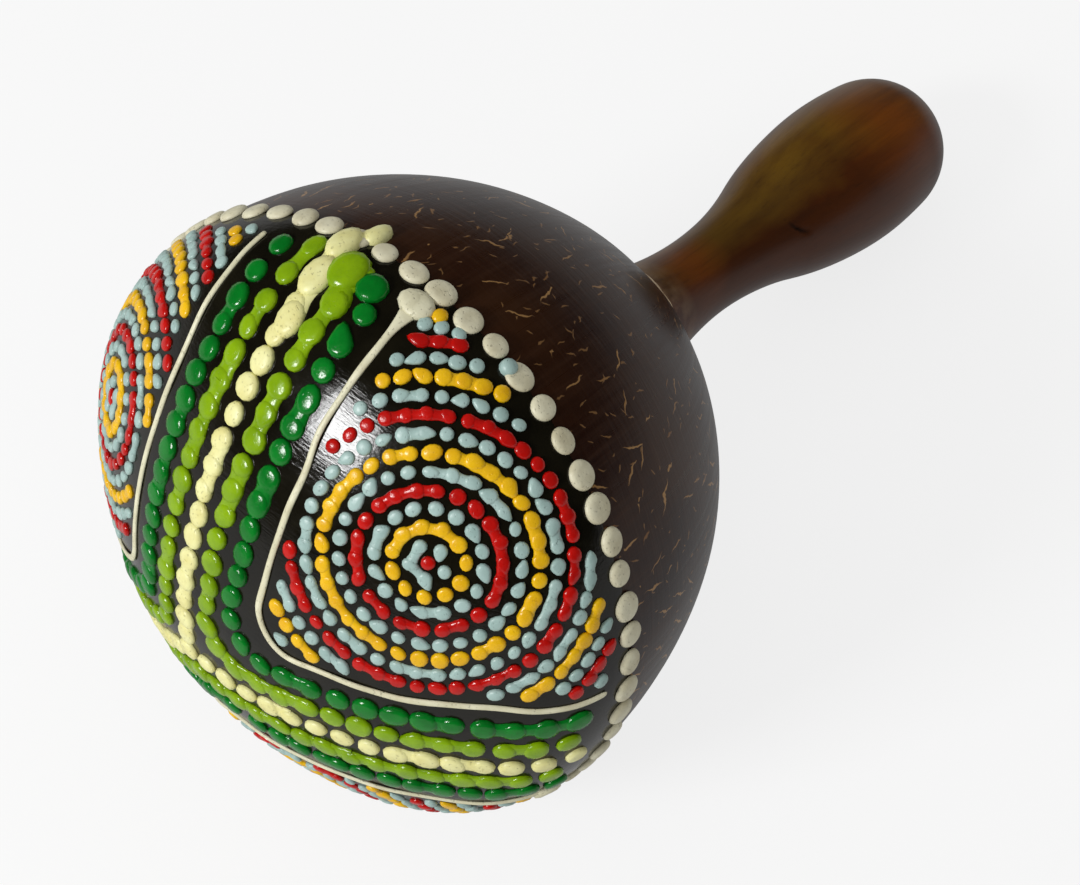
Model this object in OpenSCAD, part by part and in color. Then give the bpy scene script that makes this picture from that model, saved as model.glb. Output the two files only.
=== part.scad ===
// Coconut shell shaker: a hollow coconut shell, sawn off at its pointed end and glued onto a turned
// wooden handle. The blunt front is painted black and covered with raised dots of thick paint.
// Loose seeds lie inside. It is drawn lying on its side, as it rests on a table.
// Millimetres. +Z is up, the handle points to +X and dips until its butt touches the table at z = 0.

/* [Shell] */
// Widest radius of the shell
shell_r = 49; // [46:0.5:53]
// Depth of the painted front, from the widest place to its pole
front_depth = 32; // [30:0.5:35]
// Radius of the arc that turns the front into the sides
brow_r = 21.5; // [19:0.5:24]
// Radius of the long arc along the bare back
side_r = 64.8; // [62:0.2:68]
// Slope of the straight end that the back runs out into
end_slope = 47.5; // [45:0.5:50]
// Thickness of the shell's wall
wall = 4.5; // [3:0.25:5.5]

/* [Handle] */
// Radius of the shoulder that sits on the sawn end
shoulder_r = 9.6; // [9:0.1:10.5]
// Radius of the tenon that goes into the shell
tenon_r = 7.5; // [6:0.25:8]
// Length of the tenon
tenon_len = 18; // [12:0.5:22]
// Bevel around the tenon's end
tenon_bevel = 1.2; // [0.5:0.1:2]
// Height of the neck, the thinnest place, above the shoulder
neck_at = 17.6; // [15:0.2:20]
// Radius of the neck
neck_r = 7.3; // [6.5:0.1:8.5]
// Height of the swelling's thickest place above the shoulder
grip_at = 63.5; // [58:0.5:69]
// Radius of the swelling
grip_r = 14.2; // [12.5:0.1:15.5]
// Length of the handle above the shoulder
handle_len = 85.5; // [81:0.5:91]

/* [Glue] */
// Thickness of the glue under the shoulder and around the tenon
glue_t = 0.25; // [0.15:0.05:0.4]
// Radius of the bead of glue squeezed out around the shoulder
glue_bead_r = 1; // [0.6:0.1:1.4]
// How far the sawn end shows around the shoulder
sawn_rim = 0.6; // [0.4:0.1:1]

/* [Black coat and border] */
// Thickness of the black coat
coat_t = 0.25; // [0.15:0.05:0.4]
// Distance of the coat's edge in front of the widest place
coat_edge = 0.5; // [0:0.25:2]
// Number of dots in the border along the coat's edge
border_count = 60; // [50:1:62]
// Radius of a border dot
border_dot_r = 2.35; // [1.8:0.05:2.4]
// Height of a border dot
border_dot_h = 1.1; // [0.6:0.1:1.5]

/* [Tracks] */
// Angles around the shell at which the three tracks reach the border
track_angles = [169, 277, 403];
// Place on the front, seen along the axis, where the three tracks meet
junction = [13, 6];
// Distance between the rows of a track
row_pitch = 4.6; // [4.2:0.1:5]
// Distance between the dots of a row
row_step = 4.1; // [4.1:0.1:5]
// Radius of a track dot
track_dot_r = 1.95; // [1.5:0.05:2]
// Height of a track dot
track_dot_h = 1; // [0.5:0.1:1.3]

/* [Panels] */
// Distance of a panel's outline from the middle of the tracks beside it
line_gap = 13.5; // [12.5:0.25:15]
// Radius of the rows and the outline where they turn from one track into the next
corner_r = 7; // [5:0.5:9]
// Width of the outline
line_w = 1.3; // [0.8:0.1:1.8]
// Height of the outline
line_h = 0.6; // [0.3:0.1:0.9]
// Width of the blob at which the outline was begun
blob_w = 5; // [3:0.25:5.5]
// Distance over which the blob runs out into the outline
blob_len = 7; // [5:0.5:9]
// Distance of a panel's target from the shell's axis
target_r = 36.6; // [34:0.2:38]
// Distance between the rings of dots around a target
ring_pitch = 2.5; // [2.5:0.05:3]
// Distance between the dots of a ring
ring_step = 2.85; // [2.8:0.05:3.4]
// Radius of a panel dot
panel_dot_r = 1.2; // [0.9:0.05:1.2]
// Height of a panel dot
panel_dot_h = 0.8; // [0.4:0.1:1]
// Gap between the dots and the outline or border beside them
dot_gap = 0.2; // [0.2:0.05:0.5]

/* [Seeds] */
// Length of a seed
seed_len = 8; // [7:0.5:9]
// Radius of a seed
seed_r = 3; // [2.4:0.1:3.2]
// Gap between the lanes of neighbouring seeds
seed_gap = 1; // [0.8:0.1:1.4]
// Gap between a seed and the shell
seed_lift = 0.3; // [0.2:0.05:0.4]

/* [Hidden] */
$fn = 96;
deg = 180 / PI;
far = 1000;
// Overlap of two arcs that run into each other, so that they cross at one clear point
arc_lap = 0.01;
end_lap = 1;

// Lines of the shell's outline: cap and brow in front, a long side and a straight end behind
brow_ring = shell_r - brow_r;
cap_r = (front_depth ^ 2 + brow_ring ^ 2 - brow_r ^ 2) / (2 * (front_depth - brow_r));
cap_z = cap_r - front_depth;
cap_edge_r = brow_ring * cap_r / (cap_r - brow_r);
side_drop = side_r - shell_r;
end_turn = 1.5;
end_at = end_slope + end_turn;

// The sawn end and the socket in it
saw_r = shoulder_r + sawn_rim;
saw_z = side_r * sin(end_at) + (side_r * cos(end_at) - side_drop - saw_r) / tan(end_slope);
socket_r = tenon_r + glue_t;

// Arcs of the handle's outline: hollow neck, swelling and round butt
shoulder_z = saw_z + glue_t;
neck_arc_r = (neck_at ^ 2 + (shoulder_r - neck_r) ^ 2) / (2 * (shoulder_r - neck_r));
grip_span = grip_at - neck_at;
grip_rise = grip_r - neck_r;
grip_arc_r = (grip_span ^ 2 + grip_rise ^ 2) / (2 * grip_rise) - neck_arc_r;
butt_span = handle_len - grip_at;
butt_r = (2 * grip_arc_r * grip_r - grip_r ^ 2 - butt_span ^ 2) / (2 * (grip_arc_r - butt_span));
butt_z = shoulder_z + handle_len - butt_r;

// How it lies: the table touches the shell's side arc and the handle's butt
tilt = asin((side_r - butt_r) / norm([butt_z, side_drop])) - atan(side_drop / butt_z);
lay_x = -(butt_z * cos(tilt) + butt_r + cap_z * cos(tilt) - cap_r - coat_t) / 2;
lay_z = side_r - side_drop * cos(tilt);

// Lowest edge of the dots that stand beside the border
border_reach = coat_edge + border_dot_r;
panel_count = len(track_angles);
panel_margin = line_w / 2 + panel_dot_r + dot_gap;
track_limit_z = border_reach + track_dot_r + dot_gap;
ring_count = ceil(shell_r / ring_pitch);
line_step = 1.3;
line_lift = 0.025;

// Seeds lie in rows along the shell's floor, a little behind its lowest point
seed_rows = [3, 4, 5, 4, 3];
seed_shift = 2.5;
seed_spots = [
    for (row = [0 : len(seed_rows) - 1])
        for (i = [0 : seed_rows[row] - 1])
            [
                (i - (seed_rows[row] - 1) / 2) * (seed_len + seed_gap) + seed_shift,
                (row - (len(seed_rows) - 1) / 2) * (2 * seed_r + seed_gap)
            ]
];

function digits(n) = str(n < 10 ? "0" : "", n);
function unit(a) = [cos(a), sin(a)];

// Tracks, numbered from 0: direction from the junction, and the panel that lies after each
function track_heading(k) =
    let (run = shell_r * unit(track_angles[k % panel_count]) - junction)
    atan2(run.y, run.x) + (k < panel_count ? 0 : 360);
function heading(k) = track_heading(k) + (track_heading(k) < track_heading(0) ? 360 : 0);
function opening(k) = heading(k + 1) - heading(k);
function corner_centre(k, s) =
    junction + (s + corner_r) / sin(opening(k) / 2) * unit(heading(k) + opening(k) / 2);

// A row beside panel k, at distance s from the tracks, u along it from the middle of its corner
function rail(k, s, u) =
    let (
        turn = 90 - opening(k) / 2,
        half = corner_r * turn / deg,
        middle = heading(k) + opening(k) / 2 + 180,
        swing = max(-turn, min(turn, u / corner_r * deg)),
        past = max(0, abs(u) - half)
    )
    corner_centre(k, s) + corner_r * unit(middle - swing) + past * unit(heading(u < 0 ? k : k + 1));

// Whether a place on the front is inside panel k, with a margin to its outline
function in_panel(k, p, margin) =
    let (
        from = p - junction,
        beside = min(from * unit(heading(k) + 90), from * unit(heading(k + 1) - 90)),
        centre = corner_centre(k, line_gap),
        in_corner = max((p - centre) * unit(heading(k)), (p - centre) * unit(heading(k + 1))) < 0
    )
    beside > line_gap + margin && (!in_corner || norm(p - centre) < corner_r - margin);

// The place on the black coat nearest to a point, and the way out of the shell there
function settle(q) =
    let (
        r = norm([q.x, q.y]),
        on_cap = r * cap_z < brow_ring * (cap_z - q.z),
        centre = on_cap ? [0, 0, cap_z] : [q.x / r * brow_ring, q.y / r * brow_ring, 0],
        out = (q - centre) / norm(q - centre)
    )
    [centre + ((on_cap ? cap_r : brow_r) + coat_t) * out, out];

// The same for a place given as it is seen along the axis
function lift(p) =
    let (
        r = norm(p),
        on_cap = cap_z - sqrt(cap_r ^ 2 - min(r, cap_edge_r) ^ 2),
        on_brow = -sqrt(brow_r ^ 2 - max(0, r - brow_ring) ^ 2)
    )
    settle([p.x, p.y, r < cap_edge_r ? on_cap : on_brow]);
function rise(p) = -lift(p)[1].z;
function face_r(z) = brow_ring + sqrt(brow_r ^ 2 - z ^ 2);

// Places along a row, an even step apart on the curved surface, up to a height below the border
function march(k, s, u, step, limit_z) =
    let (p = rail(k, s, u))
    norm(p) > face_r(limit_z)
        ? []
        : concat([lift(p)], march(k, s, u + step * rise(p), step, limit_z));
function there(k, s, step, limit_z) = march(k, s, 0, step, limit_z);
function back(k, s, step, limit_z) =
    march(k, s, -step * rise(rail(k, s, 0)), -step, limit_z);
function row_spots(k, s) =
    concat(there(k, s, row_step, track_limit_z), back(k, s, row_step, track_limit_z));

// Dots along the middle of track k, from the junction or one step after it
function middle_spots(k, t) =
    let (p = junction + t * unit(heading(k)))
    norm(p) > face_r(track_limit_z)
        ? []
        : concat([lift(p)], middle_spots(k, t + row_step * rise(p)));

// Places along panel k's outline, from the side of its first track
function line_spots(k) =
    let (
        limit_z = border_reach + line_w,
        first = back(k, line_gap, line_step, limit_z)
    )
    concat(
        [for (i = [len(first) - 1 : -1 : 0]) first[i]],
        there(k, line_gap, line_step, limit_z)
    );

// Straight walk over the curved surface, in steps, from q towards t
function walk(q, t, step, n) =
    n == 0 ? settle(q) :
    let (
        next = settle(q + step * t),
        flat = t - (t * next[1]) * next[1]
    )
    walk(next[0], flat / norm(flat), step, n - 1);

// Dots of the rings around panel k's target whose number leaves one of the given remainders of 4
function ring_spots(k, remainders) =
    let (
        aim = (track_angles[k % panel_count] + track_angles[(k + 1) % panel_count]) / 2
            + (k + 1 < panel_count ? 0 : 180),
        target = lift(target_r * unit(aim)),
        across = [-sin(aim), cos(aim), 0],
        along = cross(target[1], across),
        blob = line_spots(k)[0][0]
    )
    [
        for (i = [0 : ring_count])
            if (len(search(i % 4, remainders)) > 0)
                let (count = max(1, floor(2 * PI * i * ring_pitch / ring_step)))
                for (j = [0 : count - 1])
                    let (
                        a = 360 * (j + (i % 2) / 2) / count,
                        spot = walk(target[0], cos(a) * across + sin(a) * along, ring_pitch, i),
                        clear = spot[0].z < -border_reach - panel_dot_r
                            && norm(spot[0] - blob) > blob_w / 2 + panel_dot_r + dot_gap
                    )
                    if (clear && in_panel(k, [spot[0].x, spot[0].y], panel_margin)) spot
    ];

// Quarter of an oval in the first quadrant, whose side arc may go on below it by a tail.
// The side arc and the pole arc run into each other: the larger disc trims the smaller one,
// which alone counts beyond the line through both centres.
module quarter_oval(r, depth, side, pole, tail = 0) {
    side_c = [r - side, 0];
    pole_c = [0, depth - pole];
    steep = side > pole;
    pole_cut = pole + (steep ? arc_lap : -arc_lap);
    small_c = steep ? pole_c : side_c;
    run = steep ? pole_c - side_c : side_c - pole_c;
    edge = small_c + (r + depth) / norm(run) * run;
    wide = r + edge.x;
    intersection() {
        translate([0, -tail]) square(far);
        translate(steep ? side_c : pole_c) circle(steep ? side : pole_cut);
        union() {
            translate(small_c) circle(steep ? pole_cut : side);
            if (steep) polygon([[0, -tail], [wide, -tail], [wide, edge.y], edge, small_c]);
            else polygon([[0, 0], small_c, edge, [0, edge.y]]);
        }
    }
}

// Half outline of the shell, moved inwards by inset
module shell_outline(inset) {
    end = (side_r - inset) * unit(end_at) - [side_drop, 0];
    end_root = end - end_lap * unit(90 + end_slope);
    intersection() {
        translate([-side_drop, 0]) circle(side_r - inset);
        square(side_r);
    }
    polygon([[0, end_root.y], end_root, [0, end.y + end.x / tan(end_slope)]]);
    mirror([0, 1]) quarter_oval(shell_r - inset, front_depth - inset, brow_r - inset, cap_r - inset);
}

module shell_section() {
    difference() {
        shell_outline(0);
        shell_outline(wall);
        translate([0, saw_z]) square([far, far]);
        square([socket_r, far]);
    }
}

// Half outline of the handle, from the shoulder: tenon, hollow neck, swelling and round butt
module handle_section() {
    neck_c = neck_r + neck_arc_r;
    bend = neck_at + grip_span * neck_arc_r / (neck_arc_r + grip_arc_r);
    translate([0, shoulder_z]) {
        polygon([
            [0, -tenon_len], [tenon_r - tenon_bevel, -tenon_len],
            [tenon_r, tenon_bevel - tenon_len], [tenon_r, 0], [0, 0]
        ]);
        difference() {
            union() {
                square([neck_c, bend]);
                translate([0, grip_at]) quarter_oval(grip_r, butt_span, grip_arc_r, butt_r, grip_span);
            }
            translate([neck_c, neck_at]) circle(neck_arc_r + arc_lap);
        }
    }
}

// From the shell's own axis to how it lies on the table
module lay() {
    translate([lay_x, 0, lay_z]) rotate([0, 90 + tilt, 0]) children();
}

module face_out(out) {
    rotate([0, acos(out.z), atan2(out.y, out.x)]) children();
}

module dots(spots, r, h) {
    ball_r = (r ^ 2 + h ^ 2) / (2 * h);
    for (spot = spots)
        translate(spot[0]) face_out(spot[1])
            rotate_extrude()
                intersection() {
                    translate([0, h - ball_r]) circle(ball_r);
                    square([2 * ball_r, h]);
                }
}

module coconut_shell() {
    color([0.24, 0.14, 0.08]) lay() rotate_extrude() shell_section();
}

module handle() {
    color([0.33, 0.18, 0.05]) lay() rotate_extrude() handle_section();
}

// Glue fills the joint and stands out as a bead around the shoulder
module glue_collar() {
    color([0.80, 0.72, 0.58]) lay()
        rotate_extrude()
            difference() {
                union() {
                    translate([shoulder_r, saw_z]) circle(glue_bead_r);
                    translate([0, saw_z]) square([shoulder_r, glue_t]);
                    translate([0, saw_z - wall]) square([socket_r, wall]);
                }
                shell_section();
                handle_section();
                shell_outline(wall);
            }
}

module ground_coat() {
    color([0.08, 0.07, 0.06]) lay()
        rotate_extrude()
            difference() {
                shell_outline(-coat_t);
                shell_outline(0);
                translate([0, -coat_edge]) square([far, far]);
            }
}

module border_dots() {
    spots = [for (i = [0 : border_count - 1]) lift(face_r(coat_edge) * unit(360 * i / border_count))];
    color([0.80, 0.78, 0.72]) lay() dots(spots, border_dot_r, border_dot_h);
}

// Half-round line of paint along a panel's edge, begun with a blob beside its first track
module panel_outline(k) {
    spots = line_spots(k);
    last = len(spots) - 1;
    arch = [for (a = [180 : -45 : 0]) unit(a)];
    sides = len(arch);
    points = [
        for (i = [0 : last])
            let (
                out = spots[i][1],
                along = spots[min(last, i + 1)][0] - spots[max(0, i - 1)][0],
                side = cross(along, out) / norm(cross(along, out)),
                run = norm(spots[i][0] - spots[0][0]),
                swell = max(0, 1 - run / blob_len) ^ 2,
                half_w = line_w / 2 + swell * (blob_w - line_w) / 2
            )
            for (a = arch)
                spots[i][0] + a.x * half_w * side + (line_lift + a.y * line_h) * out
    ];
    faces = [
        for (i = [0 : last - 1])
            for (j = [0 : sides - 1])
                let (
                    a = i * sides + j,
                    b = i * sides + (j + 1) % sides,
                    c = a + sides,
                    d = b + sides
                )
                each [[a, c, b], [b, c, d]],
        for (j = [1 : sides - 2])
            each [[0, j, j + 1], [last * sides, last * sides + j + 1, last * sides + j]]
    ];
    color([0.84, 0.83, 0.76]) lay() polyhedron(points, faces);
}

module track_cream(k) {
    spots = middle_spots(k, k == 0 ? 0 : row_step);
    color([0.92, 0.90, 0.65]) lay() dots(spots, track_dot_r, track_dot_h);
}

module track_lime(k) {
    color([0.55, 0.69, 0.04]) lay() dots(row_spots(k, row_pitch), track_dot_r, track_dot_h);
}

module track_green(k) {
    color([0.00, 0.51, 0.18]) lay() dots(row_spots(k, 2 * row_pitch), track_dot_r, track_dot_h);
}

module panel_red(k) {
    color([0.80, 0.06, 0.04]) lay() dots(ring_spots(k, [0]), panel_dot_r, panel_dot_h);
}

module panel_yellow(k) {
    color([0.96, 0.75, 0.04]) lay() dots(ring_spots(k, [2]), panel_dot_r, panel_dot_h);
}

module panel_blue(k) {
    color([0.63, 0.77, 0.79]) lay() dots(ring_spots(k, [1, 3]), panel_dot_r, panel_dot_h);
}

// A seed lies along the shell's floor, at a place measured from the floor's lowest point
module seed(place) {
    floor_r = side_r - wall;
    lean = tilt + place.x / floor_r * deg;
    floor_ring = floor_r * cos(lean) - side_drop;
    turn = place.y / floor_ring * deg;
    straight = seed_len / 2 - seed_r;
    color([0.62, 0.47, 0.28]) lay()
        rotate([0, 0, turn])
            translate([floor_ring, 0, floor_r * sin(lean)])
                rotate([0, -lean, 0])
                    translate([-seed_r - seed_lift, 0, 0])
                        rotate_extrude()
                            intersection() {
                                translate([0, -far / 2]) square(far);
                                union() {
                                    translate([0, -straight]) square([seed_r, 2 * straight]);
                                    translate([0, straight]) circle(seed_r);
                                    translate([0, -straight]) circle(seed_r);
                                }
                            }
}

PANEL_SETS = [
    "panel_outline", "track_cream", "track_lime", "track_green", "panel_red", "panel_yellow", "panel_blue"
];

coconut_shell();
handle();
glue_collar();
ground_coat();
border_dots();
for (k = [0 : panel_count - 1]) {
    panel_outline(k);
    track_cream(k);
    track_lime(k);
    track_green(k);
    panel_red(k);
    panel_yellow(k);
    panel_blue(k);
}
for (i = [0 : len(seed_spots) - 1]) {
    seed(seed_spots[i]);
}
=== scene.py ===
import math
import random

import bpy
import numpy as np
from mathutils import Matrix, Vector, noise


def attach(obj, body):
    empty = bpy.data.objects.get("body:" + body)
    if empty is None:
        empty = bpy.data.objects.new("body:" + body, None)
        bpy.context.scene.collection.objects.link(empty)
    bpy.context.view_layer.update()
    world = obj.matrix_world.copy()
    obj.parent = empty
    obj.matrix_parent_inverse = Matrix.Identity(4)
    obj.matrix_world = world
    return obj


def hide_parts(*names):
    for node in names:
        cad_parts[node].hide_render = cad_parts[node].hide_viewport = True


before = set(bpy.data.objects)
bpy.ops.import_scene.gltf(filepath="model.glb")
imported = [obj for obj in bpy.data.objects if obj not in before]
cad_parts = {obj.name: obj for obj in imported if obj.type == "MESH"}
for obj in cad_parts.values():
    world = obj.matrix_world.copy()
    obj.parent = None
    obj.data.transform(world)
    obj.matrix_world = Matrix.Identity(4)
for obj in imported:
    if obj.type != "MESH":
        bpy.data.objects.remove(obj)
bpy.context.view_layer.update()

# Coconut shell: a husked nut, sanded and polished, with its pointed end sawn off flat and bored for the
# handle. It is almost black brown, with fine sanding lines, and short pale fibres show in its surface.
mm = 0.001
shell_centre = Vector((-55.825, 0, 49.557)) * mm
tilt = math.radians(15.266)
lay = Matrix.Translation(shell_centre) @ Matrix.Rotation(math.pi / 2 + tilt, 4, "Y")
wall = 4.5
cap_centre, cap_r = (0, 30.762), 62.762
brow_centre, brow_r = (27.5, 0), 21.5
side_centre, side_r = (-15.8, 0), 64.8
brow_turn, end_turn = -48.2, 47.5
widest_r = brow_centre[0] + brow_r
saw_z, sawn_r = 64.04, 10.2
socket_z, socket_r = 60.2, 7.75


def arc(centre, radius, start, end, step):
    """Corners along an arc of a half outline: distance from the axis and along it, in millimetres."""
    count = max(2, math.ceil(abs(math.radians(end - start)) * radius / step))
    angles = [math.radians(start + (end - start) * i / count) for i in range(count + 1)]
    return [(centre[0] + radius * math.cos(a), centre[1] + radius * math.sin(a)) for a in angles]


def line(start, end, step):
    """Corners along a straight part of a half outline."""
    count = max(1, math.ceil(math.dist(start, end) / step))
    return [tuple(a + (b - a) * i / count for a, b in zip(start, end)) for i in range(count + 1)]


def front_line(inset, step):
    """Half outline of the blunt front, from its middle to the widest place."""
    cap = arc(cap_centre, cap_r - inset, -90, brow_turn, step)
    return [(0, cap[0][1])] + cap[1:] + arc(brow_centre, brow_r - inset, brow_turn, 0, step)[1:]


def ramp(value, low, high):
    """0 up to the first level, 1 from the second on and even in between."""
    return min(1, max(0, (value - low) / (high - low)))


def turn(name, outline, steps):
    """Turned piece, still upright: one corner is extruded along the outline and spun about the axis."""
    bpy.ops.object.select_all(action="DESELECT")
    bpy.ops.mesh.primitive_plane_add(size=mm)
    piece = bpy.context.object
    piece.name = piece.data.name = name
    bpy.ops.object.mode_set(mode="EDIT")
    bpy.ops.mesh.merge(type="CENTER")
    corners = [Vector((r, 0, z)) * mm for r, z in outline]
    bpy.ops.transform.translate(value=corners[0])
    for before, after in zip(corners, corners[1:]):
        bpy.ops.mesh.extrude_region_move(TRANSFORM_OT_translate={"value": after - before})
    bpy.ops.mesh.select_all(action="SELECT")
    bpy.ops.mesh.spin(steps=steps, angle=2 * math.pi, center=(0, 0, 0), axis=(0, 0, 1))
    bpy.ops.mesh.select_all(action="SELECT")
    bpy.ops.mesh.remove_doubles(threshold=1e-6)
    bpy.ops.mesh.normals_make_consistent(inside=False)
    bpy.ops.object.mode_set(mode="OBJECT")
    bpy.ops.object.shade_smooth_by_angle(angle=math.radians(35))
    return piece


class Shade:
    """A socket in a finish. Sums, products and comparisons of shades add Math nodes."""

    def __init__(self, socket):
        self.socket = socket

    def add(self, kind, out=0, settings=(), sockets=()):
        """Adds a node of any kind: its settings first, then its values and links. Gives one output."""
        tree = self.socket.id_data
        node = tree.nodes.new("ShaderNode" + kind)
        for name, value in dict(settings).items():
            setattr(node, name, value)
        for key, value in dict(sockets).items():
            if isinstance(value, Shade):
                tree.links.new(value.socket, node.inputs[key])
            else:
                node.inputs[key].default_value = value
        return Shade(node.outputs[out]) if len(node.outputs) else self

    def other(self, out):
        return Shade(self.socket.node.outputs[out])

    def math(self, operation, *values):
        return self.add("Math", 0, {"operation": operation}, dict(enumerate((self, *values))))

    def vector(self, operation, *values, out=0):
        return self.add("VectorMath", out, {"operation": operation}, dict(enumerate((self, *values))))

    def scaled(self, factor):
        return self.add("VectorMath", 0, {"operation": "SCALE"}, {0: self, "Scale": factor})

    def parts(self):
        x = self.add("SeparateXYZ", 0, {}, {0: self})
        return x, x.other(1), x.other(2)

    def clipped(self):
        return self.math("MAXIMUM", 0).math("MINIMUM", 1)

    def within(self, low, high):
        """0 up to the first level, 1 from the second on and even in between."""
        return self.math("MULTIPLY_ADD", 1 / (high - low), -low / (high - low)).clipped()

    def blend(self, a, b):
        """Colour a where this mask is 0, colour b where it is 1."""
        return self.add("Mix", 2, {"data_type": "RGBA"}, {0: self, 6: a, 7: b})

    def noise(self, scale, detail=3, roughness=0.5, out=0):
        sockets = {"Vector": self, "Scale": scale, "Detail": detail, "Roughness": roughness}
        return self.add("TexNoise", out, {}, sockets)

    def __add__(self, other):
        return self.math("ADD", other)

    def __sub__(self, other):
        return self.math("SUBTRACT", other)

    def __rsub__(self, other):
        return self.math("MULTIPLY_ADD", -1, other)

    def __mul__(self, other):
        return self.math("MULTIPLY", other)

    def __truediv__(self, other):
        return self.math("DIVIDE", other)

    def __lt__(self, other):
        return self.math("LESS_THAN", other)

    def __abs__(self):
        return self.math("ABSOLUTE")

    __radd__, __rmul__ = __add__, __mul__


def srgb(*levels):
    """A colour as it is seen, in steps of 255, as the light it sends back."""
    shares = [level / 255 for level in levels]
    return (*[s / 12.92 if s < 0.04045 else ((s + 0.055) / 1.055) ** 2.4 for s in shares], 1)


def finish(name):
    """A new finish, with its places in millimetres from the shell's middle, the third along its axis."""
    material = bpy.data.materials.new(name)
    material.use_nodes = True
    material.node_tree.nodes.clear()
    table_place = Shade(material.node_tree.nodes.new("ShaderNodeTexCoord").outputs["Object"])
    unlay = lay.inverted()
    sockets = {
        "Vector": table_place,
        "Location": unlay.translation / mm,
        "Rotation": unlay.to_euler(),
        "Scale": (1 / mm, 1 / mm, 1 / mm),
    }
    return material, table_place.add("Mapping", 0, {}, sockets)


def surface(place, relief, depth, **looks):
    """Closes a finish: a bump from the relief, its depth in millimetres, and one shader."""
    looks = {key.replace("_", " ").title().replace("Ior", "IOR"): value for key, value in looks.items()}
    looks["Normal"] = place.add("Bump", 0, {}, {"Height": relief, "Distance": depth * mm, "Strength": 1})
    shader = place.add("BsdfPrincipled", 0, {}, looks)
    shader.add("OutputMaterial", 0, {}, {"Surface": shader})


def dress(piece, material, node):
    """Gives a piece of the shaker its finish, sets it on the shaker's body and hides the CAD node that
    it stands for.
    """
    piece.data.materials.clear()
    piece.data.materials.append(material)
    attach(piece, "shaker")
    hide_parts(node)


fine, coarse = 1.2, 4
outside = front_line(0, fine) + arc(side_centre, side_r, 0, end_turn, fine)[1:]
outside += line(outside[-1], (sawn_r + 0.25, saw_z - 0.25), fine)[1:]
outside += [(sawn_r, saw_z - 0.06), (sawn_r - 0.3, saw_z), (socket_r, saw_z)]
inside = front_line(wall, coarse) + arc(side_centre, side_r - wall, 0, end_turn, coarse)[1:]
inside += [(socket_r, socket_z)]
shell = turn("shell", outside + inside[::-1], steps=192)

# The nut's slight lumps fade out under the paint, at the joint and where it lies on the table.
lump, lump_size, lying = 0.3 * mm, 26 * mm, 8
for corner in shell.data.vertices:
    height, off_table = corner.co.z / mm, (lay @ corner.co).z / mm
    bare = min(ramp(height, 0, 14), ramp(off_table, 0, lying)) * ramp(height, 60, 50)
    if bare > 0:
        way = corner.normal.copy()
        corner.co += way * lump * bare * noise.noise(corner.co / lump_size)
shell.data.transform(lay)

shell_finish, place = finish("polished_coconut_shell")
x, y, z = place.parts()
girth = (x * x + y * y + 0.001).math("SQRT")
out_x, out_y = x / girth, y / girth
around = place.add("CombineXYZ", 0, {}, {0: 0 - out_y, 1: out_x, 2: 0})
slope = (z / side_r).math("MINIMUM", math.sin(math.radians(end_turn)))
rest = (1 - slope * slope).math("SQRT")
along = place.add("CombineXYZ", 0, {}, {0: 0 - out_x * slope, 1: 0 - out_y * slope, 2: rest})
streak_place = place.add("CombineXYZ", 0, {}, {0: out_x * widest_r, 1: out_y * widest_r, 2: z * 0.05})
ring_place = place.add("CombineXYZ", 0, {}, {0: out_x * 3, 1: out_y * 3, 2: z})


def fibres(place, cell, length, width, share, spread):
    """Pale fibre ends: at most one short crooked stroke in each cell, lying about along the shell."""
    crook = place.noise(0.4, 2, 0.6, out="Color").vector("SUBTRACT", (0.5, 0.5, 0.5)).scaled(2.2)
    cells = place.vector("ADD", crook).scaled(1 / cell)
    middle = cells.add("TexVoronoi", "Position", {}, {"Vector": cells, "Scale": 1})
    chance = middle.add("SeparateColor", 0, {}, {0: middle.other("Color")})
    offset = cells.vector("SUBTRACT", middle)
    ahead = offset.vector("DOT_PRODUCT", along, out="Value") * cell
    aside = offset.vector("DOT_PRODUCT", around, out="Value") * cell
    lean = (chance - 0.5) * (2 * spread)
    run = ahead * lean.math("COSINE") + aside * lean.math("SINE")
    off = aside * lean.math("COSINE") - ahead * lean.math("SINE")
    reach = chance.other("Green") * (0.6 * length) + 0.4 * length
    taper = 1 - (run / reach) * (run / reach) * 4
    stroke = (taper * (width / 2) - abs(off)).within(-0.05, 0.06)
    return stroke * (chance.other("Blue") < share), chance.other("Green")


long_fibre, long_tone = fibres(place, cell=5.6, length=5.0, width=0.32, share=0.6, spread=0.9)
short_fibre, _ = fibres(place, cell=2.9, length=2.0, width=0.26, share=0.42, spread=1.2)
streak = streak_place.noise(0.9, 4, 0.65)
sanding = ring_place.noise(1.7, 3, 0.6)
cloud = place.noise(0.045, 3)
brown = cloud.within(0.34, 0.7).blend(srgb(36, 10, 3), srgb(58, 32, 13))
brown = (streak.within(0.45, 0.75) * 0.35).blend(brown, srgb(74, 44, 22))
brown = (sanding.within(0.5, 0.75) * (z.within(0, 50) * 0.4 + 0.1)).blend(brown, srgb(84, 56, 36))
tan = long_tone.blend(srgb(124, 84, 42), srgb(176, 134, 82))
brown = (long_fibre * 0.9).blend(brown, tan)
brown = (short_fibre * 0.75).blend(brown, srgb(140, 102, 60))
relief = streak * 0.4 + sanding * 0.5 + (long_fibre + short_fibre) * 0.2
polish = streak.within(0.2, 0.9) * 0.14 + 0.24
surface(place, relief, depth=0.06, base_color=brown, roughness=polish, specular_ior_level=0.35)
dress(shell, shell_finish, "coconut_shell")

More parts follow.
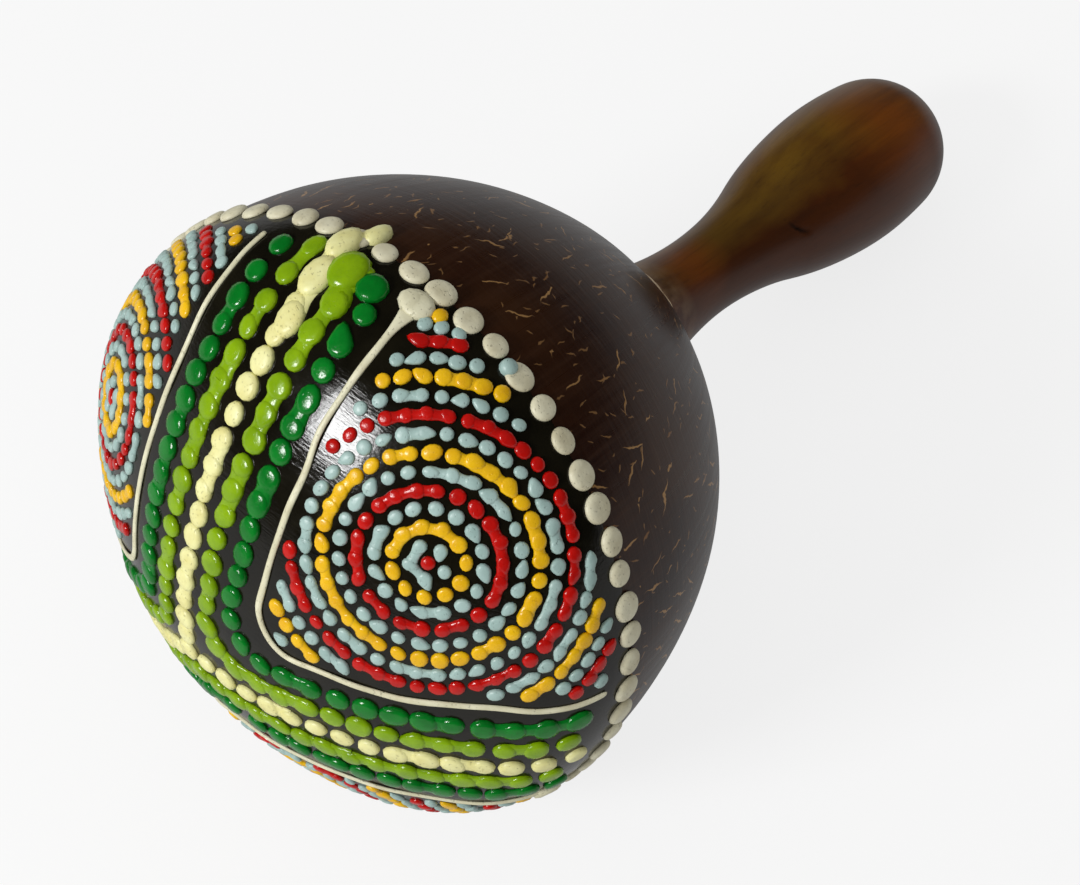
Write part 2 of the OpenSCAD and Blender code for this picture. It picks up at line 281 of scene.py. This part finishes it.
# Handle: turned from one piece of wood, with a tenon that goes into the shell, stained brown and
# varnished. The grain runs along it, and a short check has opened beside the swelling.
shoulder_z, shoulder_r = 64.29, 9.6
tenon_z, tenon_r, tenon_edge = 46.29, 7.5, 1.2
neck_z, neck_r, neck_arc = 81.89, 7.3, 68.49
grip_z, grip_r, grip_arc = 127.79, 14.2, 87.63
butt_z, butt_r = 136.05, 13.736
fine = 0.7
bend = math.degrees(math.asin((grip_z - neck_z) / (neck_arc + grip_arc)))
start_turn = 180 + math.degrees(math.asin((neck_z - shoulder_z) / neck_arc))
butt_turn = math.degrees(math.asin((butt_z - grip_z) / (grip_arc - butt_r)))
outline = [(0, tenon_z), (tenon_r - tenon_edge, tenon_z), (tenon_r, tenon_z + tenon_edge)]
outline += line((tenon_r, tenon_z + 2), (tenon_r, shoulder_z), coarse)
outline += [(shoulder_r - 0.3, shoulder_z), (shoulder_r - 0.06, shoulder_z + 0.1)]
outline += arc((neck_r + neck_arc, neck_z), neck_arc, start_turn - 0.3, 180 - bend, fine)
outline += arc((grip_r - grip_arc, grip_z), grip_arc, -bend, butt_turn, fine)[1:]
outline += arc((0, butt_z), butt_r, butt_turn, 90, fine)[1:-1] + [(0, butt_z + butt_r)]
handle = turn("handle", outline, steps=144)
uneven, uneven_size = 0.15 * mm, 15
check_z, check_turn, check_r = 99.8, math.radians(-130.5), 9.8
check_len, check_w, check_d, check_bow = 2.6, 0.55, 0.45, 0.06
lean_cos, lean_sin = 0.73, 0.68


def check_place(angle, height):
    """A place in millimetres along the check, which leans and is a little bowed, and across it."""
    side, rise = (angle - check_turn) * check_r, height - check_z
    run = side * lean_cos + rise * lean_sin
    return run, side * lean_sin - rise * lean_cos + check_bow * run * run


for corner in handle.data.vertices:
    spot = corner.co / mm
    if spot.z > shoulder_z + 2:
        way = corner.normal.copy()
        off_table = (lay @ corner.co).z / mm
        corner.co += way * uneven * noise.noise(spot / uneven_size) * ramp(off_table, 0, lying)
        run, off = check_place(math.atan2(spot.y, spot.x), spot.z)
        depth = max(0, 1 - abs(off) / check_w) * max(0, 1 - (run / check_len) ** 2)
        corner.co -= way * check_d * mm * depth
handle.data.transform(lay)

handle_finish, place = finish("varnished_wood")
x, y, z = place.parts()
girth = (x * x + y * y + 0.001).math("SQRT")
figure = place.vector("MULTIPLY", (1, 1, 0.07)).noise(0.26, 4, 0.6)
pores = place.vector("MULTIPLY", (1, 1, 0.035)).noise(1.9, 2, 0.6)
blotch = place.noise(0.06, 3, 0.6)
# Painted light: two warm bright patches on the lit side, at the swelling near the butt and near the root
# of the neck.
painted_butt_glow = place.vector("DISTANCE", (-13.7, -3.7, 130.4), out="Value").within(15, 3)
painted_root_glow = place.vector("DISTANCE", (-7.5, -0.8, 76), out="Value").within(9, 2)
# Painted light: the wood is made lighter and more olive on the side where the daylight falls, with
# blotches breaking up its edge.
painted_lit_side = (x * -0.927 + y * 0.375) / girth + (blotch - 0.5) * 0.8
wood = painted_lit_side.within(0.55, 1).blend(srgb(78, 36, 4), srgb(108, 76, 10))
wood = ((painted_butt_glow + painted_root_glow).clipped() * 0.8).blend(wood, srgb(126, 62, 2))
wood = (figure.within(0.4, 0.75) * 0.6).blend(wood, srgb(58, 26, 3))
wood = (pores.within(0.55, 0.8) * 0.3).blend(wood, srgb(40, 17, 2))
run, off = check_place(y.math("ARCTAN2", x), z)
opened = (1 - abs(off) / check_w).clipped() * (1 - run * run / check_len**2).clipped()
wood = (opened * 0.9).blend(wood, srgb(20, 9, 4))
dust = z.within(shoulder_z + 7, shoulder_z) * place.noise(0.19, 4, 0.6).within(0.38, 0.62)
wood = (dust * 0.7).blend(wood, srgb(150, 122, 92))
relief, varnish = figure * 0.6 + pores * 0.4, figure * 0.14 + 0.26
surface(place, relief, depth=0.05, base_color=wood, roughness=varnish, specular_ior_level=0.35)
dress(handle, handle_finish, "handle")

# Glue: pale wood glue fills the joint, and a little of it was squeezed out all around the shoulder.
# It dried as a thin uneven bead, thick in some places and wiped off in others.
bead_r, glue_foot = 1.0, 60.4
outline = [(tenon_r, glue_foot)] + line((tenon_r, 61), (tenon_r, shoulder_z), 2)
outline += [(shoulder_r - 1.2, shoulder_z)] + arc((shoulder_r, saw_z), bead_r, 100, -44, 0.16)
outline += [(sawn_r - 0.5, saw_z - 0.3), (sawn_r - 0.8, saw_z), (socket_r, saw_z)]
outline += [(socket_r, glue_foot), (tenon_r, glue_foot)]
glue = turn("glue", outline, steps=180)
for corner in glue.data.vertices:
    spot = corner.co / mm
    breadth = math.hypot(spot.x, spot.y)
    from_edge = Vector((breadth - shoulder_r, spot.z - saw_z))
    if from_edge.length > 0.75 * bead_r and spot.z > saw_z - 0.9 and from_edge.x > -0.2:
        thickness = 0.74 + 0.7 * noise.noise(Vector((spot.x, spot.y, 4)) / 2.3)
        growth = min(0.95, max(0.25, thickness)) - 1
        out = Vector((spot.x, spot.y, 0)) / breadth
        corner.co += (out * from_edge.x + Vector((0, 0, from_edge.y))) * growth * mm
glue.data.transform(lay)
glue_finish, place = finish("dried_glue")
mottle = place.noise(0.42, 4, 0.6)
cream = mottle.within(0.3, 0.7).blend(srgb(160, 126, 92), srgb(212, 190, 158))
surface(place, mottle, depth=0.08, base_color=cream, roughness=mottle * 0.2 + 0.4)
dress(glue, glue_finish, "glue_collar")

# Black ground: one brushed coat of black paint over the blunt front, up to the border. It dried
# glossy with fine brush marks, and its edge is not quite even.
coat_t, coat_edge, sunk = 0.25, 0.5, 0.12
edge_wave, edge_wave_size = 0.5 * mm, 3.1
over = [(r, h) for r, h in front_line(-coat_t, 1.1) if h < -coat_edge - 0.2]
under = [(r, h) for r, h in front_line(sunk, 2.5) if h < -coat_edge - 0.2]
lip = [(49.2, -coat_edge - 0.1), (49.1, -coat_edge), (48.7, -coat_edge - 0.05)]
coat = turn("ground_coat", over + lip + under[::-1], steps=192)
for corner in coat.data.vertices:
    spot = corner.co / mm
    wave = edge_wave * noise.noise(Vector((spot.x, spot.y, 0)) / edge_wave_size)
    corner.co.z += ramp(spot.z, -3, 0) * wave
coat.data.transform(lay)
coat_finish, place = finish("black_ground")
brush = place.vector("MULTIPLY", (1, 0.12, 1)).noise(2.4, 3, 0.6)
grain = place.noise(0.8, 4, 0.6)
scuff = place.noise(0.15, 5, 0.65)
black = scuff.within(0.35, 0.8).blend(srgb(15, 13, 7), srgb(27, 24, 14))
relief, gloss = brush * 0.5 + grain * 0.3, scuff.within(0.3, 0.8) * 0.1 + 0.08
surface(place, relief, depth=0.06, base_color=black, roughness=gloss, specular_ior_level=0.45)
dress(coat, coat_finish, "ground_coat")

# Border: a row of fat drops of off-white paint, set down with the end of a stick over the edge of the
# black ground all around the shell. No two are quite alike, and small pits stay in their skin.
border_r, border_h = 2.26, 0.9
foot = (0, 0, -0.22)
soft_edge = math.radians(80)
bpy.ops.object.select_all(action="DESELECT")
bpy.ops.mesh.primitive_uv_sphere_add(segments=12, ring_count=6, radius=1)
drop = bpy.context.object
bpy.ops.object.mode_set(mode="EDIT")
bpy.ops.mesh.bisect(plane_co=foot, plane_no=(0, 0, 1), clear_inner=True, use_fill=True)
bpy.ops.mesh.select_all(action="SELECT")
bpy.ops.mesh.normals_make_consistent(inside=False)
bpy.ops.object.mode_set(mode="OBJECT")
for corner in drop.data.vertices:
    breadth = math.hypot(corner.co.x, corner.co.y)
    if corner.co.z > -0.1 and breadth > 0.05:
        corner.co.xy = corner.co.xy * breadth**-0.25
        corner.co.z = max(0, corner.co.z) ** 0.6
bpy.ops.object.shade_smooth_by_angle(angle=soft_edge)
drop_corners = np.array([corner.co for corner in drop.data.vertices])
drop_tip = drop_corners[:, 2].argmax()

# Where two drops ran together, a neck lies between them, lowest and thinnest in its middle.
bpy.ops.object.select_all(action="DESELECT")
bpy.ops.mesh.primitive_cylinder_add(vertices=12, radius=1, depth=2, rotation=(0, math.pi / 2, 0))
neck = bpy.context.object
bpy.ops.object.transform_apply(location=False, rotation=True, scale=False)
bpy.ops.object.mode_set(mode="EDIT")
for cut in (-0.5, -0.25, 0, 0.25, 0.5):
    bpy.ops.mesh.select_all(action="SELECT")
    bpy.ops.mesh.bisect(plane_co=(cut, 0, 0), plane_no=(1, 0, 0))
bpy.ops.mesh.select_all(action="SELECT")
bpy.ops.mesh.bisect(plane_co=foot, plane_no=(0, 0, 1), clear_inner=True, use_fill=True)
bpy.ops.mesh.select_all(action="SELECT")
bpy.ops.mesh.normals_make_consistent(inside=False)
bpy.ops.object.mode_set(mode="OBJECT")
bpy.ops.object.shade_smooth_by_angle(angle=soft_edge)
neck_corners = np.array([corner.co for corner in neck.data.vertices])
flare = np.minimum(abs(neck_corners[:, 0]), 0.5) ** 2
neck_corners[:, 1] *= 0.7 + 0.4 * flare
neck_corners[:, 2] *= np.where(neck_corners[:, 2] > 0, 0.74 + 0.5 * flare, 1)


def from_middle(corners):
    return np.linalg.norm(corners - corners.mean(0), axis=1)


def feet(node):
    """Foot and way out of every drop in a CAD node, from the rings that its solids stand on.

    Drops that touch are one solid, which is taken apart from its ends, a drop's breadth at a time.
    """
    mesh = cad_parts[node].data
    corners = np.empty(len(mesh.vertices) * 3, np.float32)
    mesh.vertices.foreach_get("co", corners)
    ends = np.empty(len(mesh.edges) * 2, np.int32)
    mesh.edges.foreach_get("vertices", ends)
    places, index = np.unique(np.round(corners.reshape(-1, 3), 7), axis=0, return_inverse=True)
    a, b = index.reshape(-1)[ends.reshape(-1, 2)].T
    label = np.arange(len(places))
    while (label[a] != label[b]).any():
        low = np.minimum(label[a], label[b])
        np.minimum.at(label, a, low)
        np.minimum.at(label, b, low)
        label = label[label]
    solids = [places[label == one].astype(float) for one in np.unique(label)]
    breadth = 2.02 * np.median([from_middle(solid).max() for solid in solids])
    foot_depth = 0.06 * mm
    found = []
    for solid in solids:
        while len(solid):
            end = solid[from_middle(solid).argmax()]
            mine = np.linalg.norm(solid - end, axis=1) < breadth
            ring, solid = solid[mine], solid[~mine]
            for _ in range(2):
                middle = ring.mean(0)
                out = np.linalg.svd(ring - middle)[2][2]
                out *= 1 if out @ (middle - np.array(shell_centre)) > 0 else -1
                level = (ring - middle) @ out
                ring = ring[level < level.min() + foot_depth]
            found.append((Vector(ring.mean(0)), Vector(out)))
    return found


def set_down(master, shape, spot, out, ahead, sizes):
    """A copy of a drop or neck at its place, turned with its length along the way ahead."""
    one = master.copy()
    one.data = master.data.copy()
    one.data.vertices.foreach_set("co", shape.astype(np.float32).ravel())
    ahead = (ahead - out * ahead.dot(out)).normalized()
    axes = Matrix((ahead, out.cross(ahead), out)).transposed()
    one.data.transform(Matrix.Translation(spot) @ (axes @ Matrix.Diagonal(sizes)).to_4x4())
    bpy.context.scene.collection.objects.link(one)
    return one


def set_drop(spot, out, ahead, length, width, height, tail=0.0, tip=1.0):
    """One drop, with a tail drawn out of its front end and a tip that sank in or stood up."""
    shape = drop_corners.copy()
    shape[drop_tip, 2] *= tip
    front = np.clip(shape[:, 0], 0, 1)
    shape[:, 0] *= 1 + tail * front
    shape[:, 1] *= 1 - 0.55 * tail * front
    return set_down(drop, shape, spot, out, ahead, (length, width, height))


def set_neck(one, two, width, height):
    """The neck between two drops that ran together."""
    way = two[0] - one[0]
    out = (one[1] + two[1]).normalized()
    return set_down(neck, neck_corners, one[0] + way / 2, out, way, (way.length / 2, width, height))


def drops_of(node, radius, height, stretch, merged, tailed, chance):
    """All drops of one CAD node, no two alike, with necks where neighbours ran together."""
    spots = feet(node)
    next_to = 3.2 * radius * mm
    drops = []
    for i, (spot, out) in enumerate(spots):
        near = sorted(((other[0] - spot).length, j) for j, other in enumerate(spots) if j != i)[:2]
        near = [j for far, j in near if far < next_to]
        size = radius * mm * chance.uniform(0.88, 1.1)
        long = chance.uniform(*stretch)
        tail = chance.uniform(0.25, 0.6) if chance.random() < tailed else 0
        tall = height * mm * chance.uniform(0.88, 1.12)
        ahead = (spots[near[0]][0] - spot if near else out.orthogonal()) * chance.choice((-1, 1))
        ahead = Matrix.Rotation(chance.uniform(-0.5, 0.5), 3, out) @ ahead
        aside = Matrix.Rotation(chance.uniform(0, 6.28), 3, out) @ out.orthogonal()
        slip = aside * chance.uniform(0, 0.1) * size
        tip = chance.uniform(0.86, 1.06)
        drops.append(set_drop(spot + slip, out, ahead, size * long, size / long, tall, tail, tip))
        for j in near:
            if j > i and chance.random() < merged:
                drops.append(set_neck(spots[i], spots[j], size * chance.uniform(0.9, 1.08), tall))
    return drops


def join(name, drops):
    """One piece of many drops."""
    bpy.ops.object.select_all(action="DESELECT")
    for one in drops:
        one.select_set(True)
    bpy.context.view_layer.objects.active = drops[0]
    bpy.ops.object.join()
    piece = bpy.context.object
    piece.name = piece.data.name = name
    return piece


def round_off(piece):
    """Rounds the active piece by one level, which is then part of its mesh."""
    rounding = piece.modifiers.new("rounding", "SUBSURF")
    rounding.levels = rounding.render_levels = 1
    bpy.ops.object.modifier_apply(modifier="rounding")


def paint(name, colour, deep, pits, gloss):
    """Thick paint: its colour settles a little darker in places, and small pits stay in the skin,
    darkened with painted shade.
    """
    material, place = finish(name)
    cloud = place.noise(0.33, 3)
    skin = place.noise(1.5, 3, 0.6)
    pit_and_painted_shade = place.noise(2.3, 1).within(0.64, 0.76) * pits
    tint = cloud.within(0.36, 0.72).blend(srgb(*colour), srgb(*deep))
    # Painted shade: the pits are tinted darker, as if shade fell into them, besides being sunk by the
    # bump.
    tint = (pit_and_painted_shade * 0.4).blend(tint, srgb(*[level * 0.6 for level in deep]))
    relief = skin * 0.6 + cloud * 0.4 - pit_and_painted_shade
    surface(place, relief, depth=0.09, base_color=tint, roughness=skin * 0.16 + gloss)
    return material


chance = random.Random(11)
border_paint = paint("border_paint", (222, 217, 188), (198, 190, 158), pits=0.8, gloss=0.36)
drops = drops_of("border_dots", border_r, border_h, (0.94, 1.08), 0, 0, chance)
border = join("border_drops", drops)
round_off(border)
dress(border, border_paint, "border_dots")

# Tracks: three bands of five rows of drops run from the border to where they meet, cream in the middle,
# lime beside it and dark green outside. At one end the wet cream and lime ran together over the border.
track_r, track_h = 1.92, 0.78
cream_paint = paint("cream_paint", (234, 231, 166), (220, 212, 138), pits=0.8, gloss=0.28)
lime_paint = paint("lime_paint", (132, 169, 4), (112, 149, 2), pits=0.25, gloss=0.12)
green_paint = paint("green_paint", (2, 119, 32), (0, 100, 26), pits=0.2, gloss=0.1)


def place_at(degrees, height):
    """A place near the border, by its angle around the shell and its height along the axis."""
    ring, radius = (brow_centre[0], brow_r + coat_t) if height < 0 else (side_centre[0], side_r)
    breadth = math.sqrt(radius**2 - height**2)
    a = math.radians(degrees)
    out = Vector((breadth * math.cos(a), breadth * math.sin(a), height)) / radius
    spot = Vector(((ring + breadth) * math.cos(a), (ring + breadth) * math.sin(a), height)) * mm
    return lay @ spot, lay.to_3x3() @ out


# Extra paint by CAD node, in chains of drops, each with its angle around the shell, its place along the
# axis, half its length, half its width and its height.
runs = {
    "track_cream_1": [[
        (168.8, -14.6, 2.9, 2.15, 1.0), (168.4, -8.8, 3.6, 2.4, 1.15), (167.6, -2.8, 3.4, 2.2, 1.5),
        (170.0, 1.6, 2.6, 1.5, 1.5),
    ]],
    "track_lime_1": [[(172.3, -6.2, 3.5, 3.0, 1.4), (174.6, -10.8, 2.3, 2.1, 1.0)]],
    "track_green_1": [[(177.6, -6.4, 2.4, 2.4, 1.1)]],
    "panel_blue_1": [
        [(201.8, -1.2, 1.3, 1.3, 1.35)],
        [(188.2, -5.6, 1.15, 1.05, 0.6)],
        [(190.4, -4.4, 1.15, 1.05, 0.6)],
        [(193.0, -3.3, 1.0, 1.1, 0.6)],
    ],
    "panel_yellow_1": [[(188.8, -3.4, 1.25, 1.1, 0.8)]],
}


def runs_of(node):
    """Extra paint that ran or was dabbed on beside the rows, in some places one drop into the next."""
    drops = []
    for run in runs.get(node, ()):
        places = [(place_at(degrees, height), *sizes) for degrees, height, *sizes in run]
        for place, a, b, tall in places:
            drops.append(set_drop(*place, lay.col[2].xyz, a * mm, b * mm, tall * mm))
        for (one, _, b, tall), (two, _, d, low) in zip(places, places[1:]):
            drops.append(set_neck(one, two, (b + d) * 0.53 * mm, (tall + low) * 0.5 * mm))
    return drops


rows = (
    ("track_cream", "cream", cream_paint, 0.3, 0),
    ("track_lime", "lime", lime_paint, 0.55, 0.05),
    ("track_green", "green", green_paint, 0.3, 0.03),
)
for name, slot, material, merged, tailed in rows:
    for k in (1, 2, 3):
        node = f"{name}_{k}"
        drops = drops_of(node, track_r, track_h, (0.98, 1.14), merged, tailed, chance) + runs_of(node)
        dress(join(f"{node}_drops", drops), material, node)

# Panels: between the tracks lie three fields of small drops in rings around one red drop, pale blue
# every second ring, yellow and red by turns in the others.
panel_h = 0.56
red_paint = paint("red_paint", (192, 12, 4), (168, 6, 2), pits=0.2, gloss=0.12)
yellow_paint = paint("yellow_paint", (236, 186, 4), (220, 166, 2), pits=0.3, gloss=0.18)
blue_paint = paint("pale_blue_paint", (165, 191, 185), (148, 175, 169), pits=0.6, gloss=0.26)
rings = (
    ("panel_red", "red", red_paint, 1.14, 0.45, 0.15),
    ("panel_yellow", "yellow", yellow_paint, 1.2, 0.55, 0.08),
    ("panel_blue", "pale_blue", blue_paint, 1.07, 0.25, 0.5),
)
for name, slot, material, radius, merged, tailed in rings:
    for k in (1, 2, 3):
        node = f"{name}_{k}"
        drops = drops_of(node, radius, panel_h, (0.98, 1.16), merged, tailed, chance) + runs_of(node)
        dress(join(f"{node}_drops", drops), material, node)

# Outlines: a cream line drawn around each panel in one go with thick paint. It starts in a fat blob at
# the border and waves a little.
outline_paint = paint("outline_paint", (223, 219, 188), (202, 196, 162), pits=0.8, gloss=0.34)
line_sunk, line_wave, line_wave_size, steady = 0.06 * mm, 0.8 * mm, 9 * mm, 12 * mm
blob_h = 0.95 * mm
noise.seed_set(11)
for k in (1, 2, 3):
    node = f"panel_outline_{k}"
    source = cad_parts[node]
    stripe = source.copy()
    stripe.data = source.data.copy()
    stripe.name = stripe.data.name = f"{node}_line"
    for key in list(stripe.keys()):
        del stripe[key]
    stripe.parent = None
    bpy.context.scene.collection.objects.link(stripe)
    bpy.ops.object.select_all(action="DESELECT")
    bpy.context.view_layer.objects.active = stripe
    stripe.select_set(True)
    bpy.ops.object.mode_set(mode="EDIT")
    bpy.ops.mesh.select_all(action="SELECT")
    bpy.ops.mesh.remove_doubles(threshold=1e-6)
    bpy.ops.mesh.tris_convert_to_quads()
    bpy.ops.object.mode_set(mode="OBJECT")
    corners = [corner.co.copy() for corner in stripe.data.vertices]
    edges = [(corners[one], corners[two]) for one, two in (edge.vertices for edge in stripe.data.edges)]
    one, two = max(edges, key=lambda ends: (ends[0] - ends[1]).length)
    start, across = (one + two) / 2, one - two
    round_off(stripe)
    bpy.ops.object.shade_smooth_by_angle(angle=soft_edge)
    for corner in stripe.data.vertices:
        out = (corner.co - shell_centre).normalized()
        wave = noise.noise_vector(corner.co / line_wave_size) * line_wave
        wave *= ramp((corner.co - start).length, 0, steady)
        corner.co += wave - out * wave.dot(out) - out * line_sunk
    middle = lay.inverted() @ start
    breadth = math.hypot(middle.x, middle.y)
    ring = Vector((middle.x, middle.y, 0)) * (brow_centre[0] * mm / breadth)
    out = lay.to_3x3() @ (middle - ring).normalized()
    beside = start + across.normalized() * 0.9 * mm
    blob = [
        set_drop(start, out, across, 2.75 * mm, 2.3 * mm, blob_h, tail=0.1, tip=0.9),
        set_drop(beside, out, across.cross(out), 1.9 * mm, 1.7 * mm, blob_h),
    ]
    dress(join(f"{node}_line", [stripe] + blob), outline_paint, node)
bpy.data.objects.remove(drop)
bpy.data.objects.remove(neck)

# Seeds: dry seeds, put in through the bored end before the handle was glued. They lie loose at the
# bottom of the hollow, and knocking against the shell they make its sound.
seed_finish, place = finish("dry_seed")
husk = place.noise(0.3, 4, 0.6)
seed_coat = husk.within(0.3, 0.7).blend(srgb(120, 82, 44), srgb(178, 138, 86))
surface(place, husk, depth=0.1, base_color=seed_coat, roughness=husk * 0.2 + 0.4)
for name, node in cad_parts.items():
    if name.startswith("seed_"):
        node.data.materials.clear()
        node.data.materials.append(seed_finish)


# Table and light: a white table top under soft daylight from a window at the left. The room is bright
# at the height of the table and dark above, and the drops and the shell mirror that.
def grey(level):
    return (level, level, level, 1)


bpy.ops.object.select_all(action="DESELECT")
bpy.ops.mesh.primitive_plane_add(size=6)
table = bpy.context.object
table.name = "table"
table_white = bpy.data.materials.new("white_table")
table_white.use_nodes = True
table_white.node_tree.nodes.clear()
path = Shade(table_white.node_tree.nodes.new("ShaderNodeLightPath").outputs["Is Camera Ray"])
matt = path.add("BsdfDiffuse", 0, {}, {"Color": grey(0.82)})
glow = path.add("Emission", 0, {}, {"Color": grey(1), "Strength": path * 0.62 + 0.38})
seen = (path + path.other("Is Glossy Ray") + path.other("Is Transmission Ray")).clipped() * 0.8
top = path.add("MixShader", 0, {}, {0: seen, 1: matt, 2: glow})
path.add("OutputMaterial", 0, {}, {"Surface": top})
table.data.materials.append(table_white)

world = bpy.data.worlds.new("bright_room")
bpy.context.scene.world = world
world.use_nodes = True
world.node_tree.nodes.clear()
way = Shade(world.node_tree.nodes.new("ShaderNodeTexCoord").outputs["Generated"])
level = way.parts()[2]
leftward = way.vector("DOT_PRODUCT", (-0.55, 0.6, 0.58), out="Value")
path = way.add("LightPath", "Is Camera Ray")
mirrored = level.within(-0.05, 0.1).blend(grey(0.35), grey(0.012))
daylight = leftward.within(-1, 1).blend(grey(0.14), grey(0.68))
room = path.other("Is Diffuse Ray").blend(mirrored, daylight)
shown = (path + path.other("Is Transmission Ray")).clipped()
light = way.add("Background", 0, {}, {"Color": shown.blend(room, grey(1)), "Strength": 1})
way.add("OutputWorld", 0, {}, {"Surface": light})

window_way, window_far = Vector((-0.846, 0.217, 0.64)).normalized(), 0.9
bpy.ops.object.light_add(type="AREA", location=shell_centre + window_way * window_far)
window = bpy.context.object
window.name = "window"
window.rotation_euler = (-window_way).to_track_quat("-Z", "Y").to_euler()
window.data.shape = "RECTANGLE"
window.data.size, window.data.size_y = 0.26, 0.2
window.data.energy = 5.1

# Camera: above the painted front and to the side of it, as close as the photograph was taken.
bpy.ops.object.camera_add(location=(-0.16324, -0.12866, 0.33626))
camera = bpy.context.object
camera.name = "camera"
camera.rotation_euler = (math.radians(31.8), 0, math.radians(-48.495))
camera.data.lens, camera.data.sensor_width = 73.33, 36
camera.data.clip_start = 0.01
bpy.context.scene.camera = camera
bpy.context.scene.view_settings.view_transform = "Standard"
